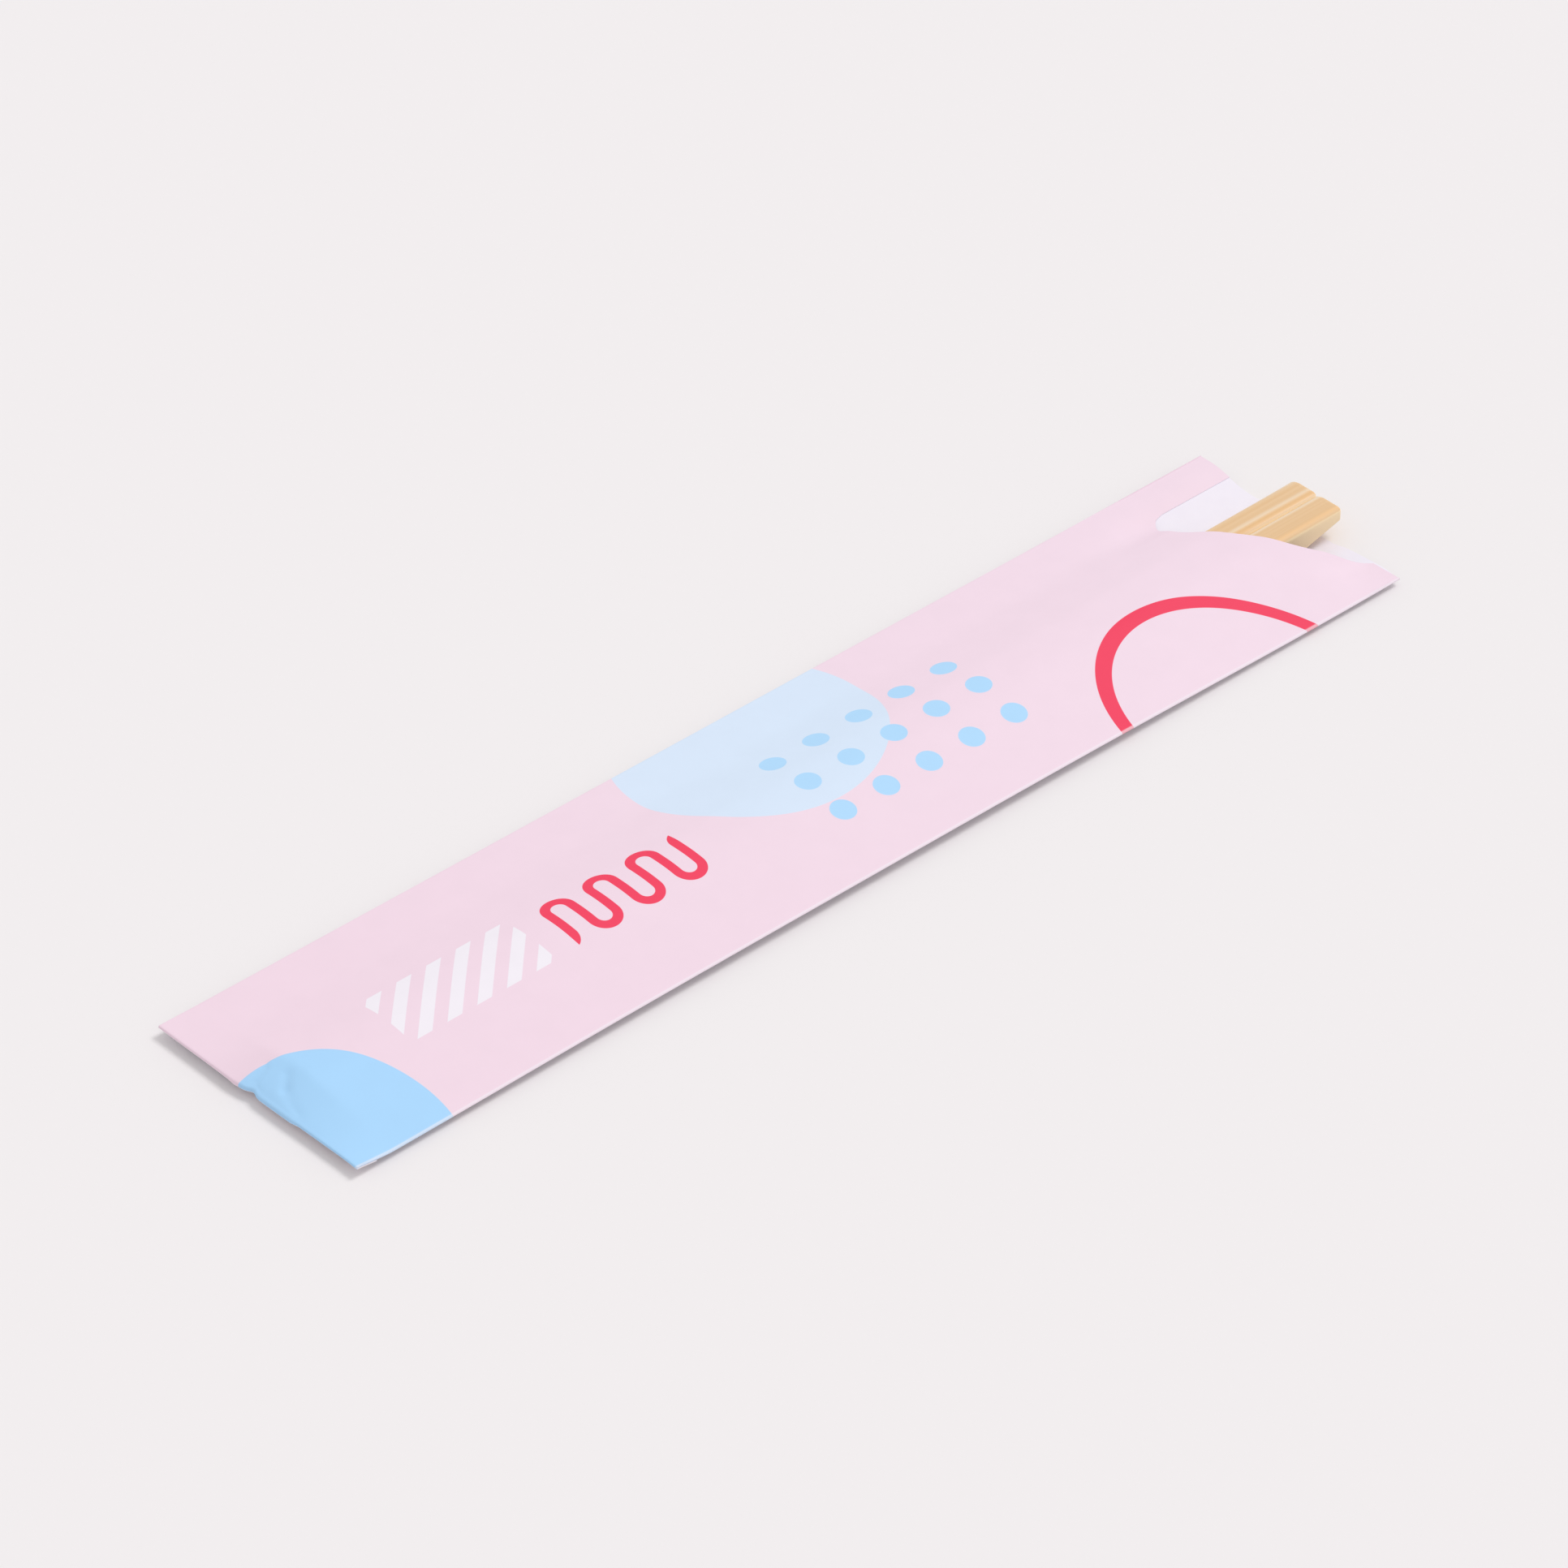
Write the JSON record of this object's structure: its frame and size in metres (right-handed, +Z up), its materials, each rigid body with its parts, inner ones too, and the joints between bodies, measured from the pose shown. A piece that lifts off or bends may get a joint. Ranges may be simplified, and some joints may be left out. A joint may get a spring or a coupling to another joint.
{
  "type": "bamboo chopsticks in a paper sleeve",
  "caption": "Bamboo chopsticks lying in a flat printed paper sleeve with a closed end and a thumb notch, their heads, slanted on the underside, standing out.",
  "frame": {"origin": "under the middle of the whole, on the surface that the sleeve lies on", "axes": "+X along the sleeve to its open end, +Y across it, +Z up"},
  "size_m": [0.2164, 0.044, 0.0058],
  "materials": {
    "printed_paper": "satin coated paper, printed in flat colours",
    "bamboo": "sanded bamboo, no varnish"
  },
  "bodies": {
    "root": {"paper_sleeve": "printed_paper", "chopstick_back": "bamboo", "chopstick_front": "bamboo"}
  },
  "joints": []
}
